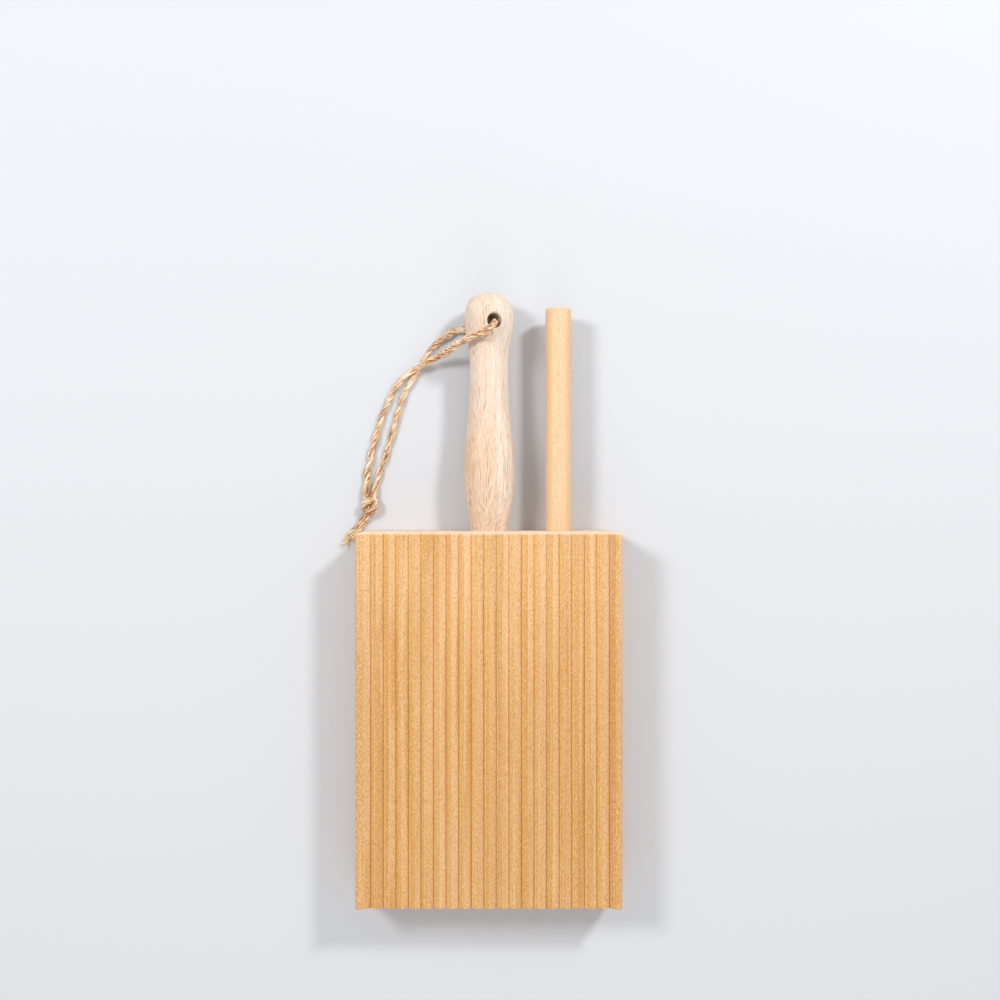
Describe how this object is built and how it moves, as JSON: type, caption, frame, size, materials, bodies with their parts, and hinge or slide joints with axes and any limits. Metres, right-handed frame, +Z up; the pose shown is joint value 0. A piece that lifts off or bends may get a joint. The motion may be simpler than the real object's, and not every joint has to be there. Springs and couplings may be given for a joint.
{
  "type": "gnocchi board",
  "caption": "Ridged wooden board for shaping gnocchi, with a turned handle, a thin rolling pin stored in a socket in its end and a hanging loop of twine.",
  "frame": {"origin": "midway along the whole length of board and handle, on the board's centre line, at the flat underside", "axes": "+X across the ridges towards the rolling pin, +Y from the board towards the handle's tip, +Z up out of the ridged face"},
  "size_m": [0.0916, 0.197, 0.0211],
  "materials": {
    "board_beech": "planed and sanded, unoiled",
    "handle_rubberwood": "turned and sanded, unoiled",
    "pin_beech": "turned dowel, sanded",
    "twine_jute": "two-ply twisted jute"
  },
  "bodies": {
    "board_with_handle": {"board": "board_beech", "handle": "handle_rubberwood"},
    "pin": {"rolling_pin": "pin_beech"},
    "twine": {"twine_loop": "twine_jute", "twine_knot": "twine_jute", "twine_tails": "twine_jute"}
  },
  "joints": [
    {"name": "pin_slide", "type": "slide", "parent": "board_with_handle", "child": "pin", "axis": [0, 1, 0], "range_m": [0, 0.055]},
    {"name": "loop_swing", "type": "hinge", "parent": "board_with_handle", "child": "twine", "pos_m": [0, 0.0889, 0.01], "axis": [0.247, 0, 0.969], "range_deg": [-40, 0]}
  ]
}
